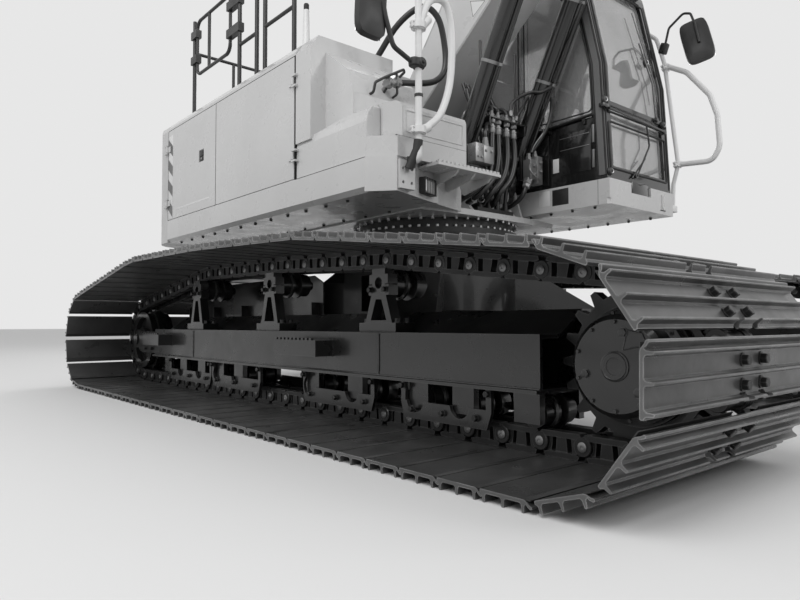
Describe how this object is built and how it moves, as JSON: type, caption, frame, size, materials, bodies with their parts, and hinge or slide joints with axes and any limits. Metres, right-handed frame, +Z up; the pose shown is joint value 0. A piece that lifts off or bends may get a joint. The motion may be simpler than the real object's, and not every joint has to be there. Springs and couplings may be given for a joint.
{
  "type": "crawler excavator",
  "caption": "Crawler excavator with extra wide track shoes, a slewing house with cab, and a boom, dipper and bucket worked by cylinders.",
  "frame": {"origin": "on the ground, at the middle of the whole machine's box as it stands", "axes": "+X forward, to the boom and the sprockets; +Y to the machine's left, where the cab is; +Z up"},
  "size_m": [8.447, 4, 4.8971],
  "materials": {
    "undercarriage_black": "gloss",
    "shoe_steel": "satin",
    "ring_steel": "satin",
    "house_grey": "gloss",
    "weight_grey": "satin",
    "engine_grey": "matte",
    "cab_black": "gloss",
    "glass": "gloss",
    "seat_fabric": "matte",
    "dark_plastic": "matte",
    "rail_white": "gloss",
    "lamp": "gloss",
    "fittings": "satin",
    "bucket_grey": "satin",
    "cylinder_black": "gloss",
    "rod_chrome": "mirror"
  },
  "bodies": {
    "undercarriage": {"car_body": "undercarriage_black", "track_frame_right": "undercarriage_black", "track_frame_left": "undercarriage_black", "track_right": "shoe_steel", "track_left": "shoe_steel", "sprocket_right": "undercarriage_black", "sprocket_left": "undercarriage_black", "final_drive_right": "undercarriage_black", "final_drive_left": "undercarriage_black", "idler_right": "undercarriage_black", "idler_left": "undercarriage_black", "rollers_right": "undercarriage_black", "rollers_left": "undercarriage_black", "roller_guards_right": "undercarriage_black", "roller_guards_left": "undercarriage_black", "carrier_stands_right": "undercarriage_black", "carrier_stands_left": "undercarriage_black", "slew_ring_lower": "ring_steel"},
    "house": {"slew_ring_upper": "ring_steel", "main_frame": "house_grey", "deck_skirts": "house_grey", "counterweight": "weight_grey", "engine_block": "engine_grey", "cover_panels": "house_grey", "front_tank": "house_grey", "cab_shell": "cab_black", "cab_glass": "glass", "seat": "seat_fabric", "console": "dark_plastic", "rear_rails": "cab_black", "front_rails": "rail_white", "mirrors": "cab_black", "work_lamps": "lamp", "valve_bank": "fittings"},
    "cab_door": {"cab_door": "cab_black"},
    "side_door_rear": {"side_door_rear": "house_grey"},
    "side_door_front": {"side_door_front": "house_grey"},
    "side_door_left": {"side_door_left": "house_grey"},
    "engine_hood": {"engine_hood": "house_grey"},
    "tank_lid": {"tank_lid": "house_grey"},
    "boom": {"boom": "house_grey"},
    "dipper": {"dipper": "house_grey"},
    "bucket": {"bucket": "bucket_grey"},
    "boom_ram_tubes": {"boom_ram_tubes": "cylinder_black"},
    "boom_ram_rods": {"boom_ram_rods": "rod_chrome"},
    "dipper_ram_tube": {"dipper_ram_tube": "cylinder_black"},
    "dipper_ram_rod": {"dipper_ram_rod": "rod_chrome"},
    "bucket_ram_tube": {"bucket_ram_tube": "cylinder_black"},
    "bucket_ram_rod": {"bucket_ram_rod": "rod_chrome"},
    "rocker": {"rocker": "house_grey"},
    "link": {"link": "house_grey"}
  },
  "joints": [
    {"name": "slew", "type": "hinge", "parent": "undercarriage", "child": "house", "pos_m": [-1.39364, 0, 1.218], "axis": [0, 0, 1], "continuous": true},
    {"name": "boom_lift", "type": "hinge", "parent": "house", "child": "boom", "pos_m": [-1.54364, 0, 2.12], "axis": [0, -1, 0], "range_deg": [-63, 34]},
    {"name": "dipper_swing", "type": "hinge", "parent": "boom", "child": "dipper", "pos_m": [3.79197, 0, 4.1253], "axis": [0, -1, 0], "range_deg": [-30, 85]},
    {"name": "bucket_curl", "type": "hinge", "parent": "dipper", "child": "bucket", "pos_m": [3.43106, 0, 1.22769], "axis": [0, -1, 0], "range_deg": [-100, 50]},
    {"name": "boom_ram_swing", "type": "hinge", "parent": "house", "child": "boom_ram_tubes", "pos_m": [-0.93364, 0, 1.5], "axis": [0, -1, 0], "range_deg": [-62.74, 34.32]},
    {"name": "boom_ram_stroke", "type": "slide", "parent": "boom_ram_tubes", "child": "boom_ram_rods", "axis": [0.4442, 0, 0.8959], "range_m": [-0.8737, 0.4738]},
    {"name": "dipper_ram_swing", "type": "hinge", "parent": "boom", "child": "dipper_ram_tube", "pos_m": [1.14215, 0, 4.63819], "axis": [0, -1, 0], "range_deg": [-1.38, 2.06]},
    {"name": "dipper_ram_stroke", "type": "slide", "parent": "dipper_ram_tube", "child": "dipper_ram_rod", "axis": [0.9987, 0, 0.0517], "range_m": [-0.9841, 0.3506]},
    {"name": "rocker_swing", "type": "hinge", "parent": "dipper", "child": "rocker", "pos_m": [3.48297, 0, 1.64447], "axis": [0, -1, 0], "range_deg": [-79.75, 40.38]},
    {"name": "link_swing", "type": "hinge", "parent": "rocker", "child": "link", "pos_m": [3.976, 0, 1.72768], "axis": [0, -1, 0], "range_deg": [-34.5, 68]},
    {"name": "bucket_ram_swing", "type": "hinge", "parent": "dipper", "child": "bucket_ram_tube", "pos_m": [4.0824, 0, 3.70619], "axis": [0, -1, 0], "range_deg": [-2, 1.5]},
    {"name": "bucket_ram_stroke", "type": "slide", "parent": "bucket_ram_tube", "child": "bucket_ram_rod", "axis": [-0.0537, 0, -0.9986], "range_m": [-0.3126, 0.6202]},
    {"name": "cab_door_hinge", "type": "hinge", "parent": "house", "child": "cab_door", "pos_m": [-1.09364, 1.291, 2], "axis": [0, 0, 1], "range_deg": [0, 100]},
    {"name": "side_door_rear_hinge", "type": "hinge", "parent": "house", "child": "side_door_rear", "pos_m": [-3.62164, -1.289, 1.9], "axis": [0, 0, 1], "range_deg": [-110, 0]},
    {"name": "side_door_front_hinge", "type": "hinge", "parent": "house", "child": "side_door_front", "pos_m": [-1.40164, -1.289, 1.9], "axis": [0, 0, 1], "range_deg": [0, 110]},
    {"name": "side_door_left_hinge", "type": "hinge", "parent": "house", "child": "side_door_left", "pos_m": [-3.62164, 1.289, 1.9], "axis": [0, 0, 1], "range_deg": [0, 110]},
    {"name": "engine_hood_hinge", "type": "hinge", "parent": "house", "child": "engine_hood", "pos_m": [-3.27764, -0.3, 2.433], "axis": [0, -1, 0], "range_deg": [0, 60]},
    {"name": "tank_lid_hinge", "type": "hinge", "parent": "house", "child": "tank_lid", "pos_m": [-0.88364, -0.9, 1.843], "axis": [0, -1, 0], "range_deg": [0, 75]}
  ],
  "couplings": [
    {"joint": "boom_ram_swing", "follows": "boom_lift", "ratio": 0.98},
    {"joint": "boom_ram_stroke", "follows": "boom_lift", "m_per_rad": 0.79},
    {"joint": "dipper_ram_swing", "follows": "dipper_swing", "ratio": 0.0125},
    {"joint": "dipper_ram_stroke", "follows": "dipper_swing", "m_per_rad": -0.66},
    {"joint": "rocker_swing", "follows": "bucket_curl", "ratio": 0.7875},
    {"joint": "link_swing", "follows": "bucket_curl", "ratio": -0.67},
    {"joint": "bucket_ram_swing", "follows": "bucket_curl", "ratio": 0.01},
    {"joint": "bucket_ram_stroke", "follows": "bucket_curl", "m_per_rad": -0.3525}
  ]
}
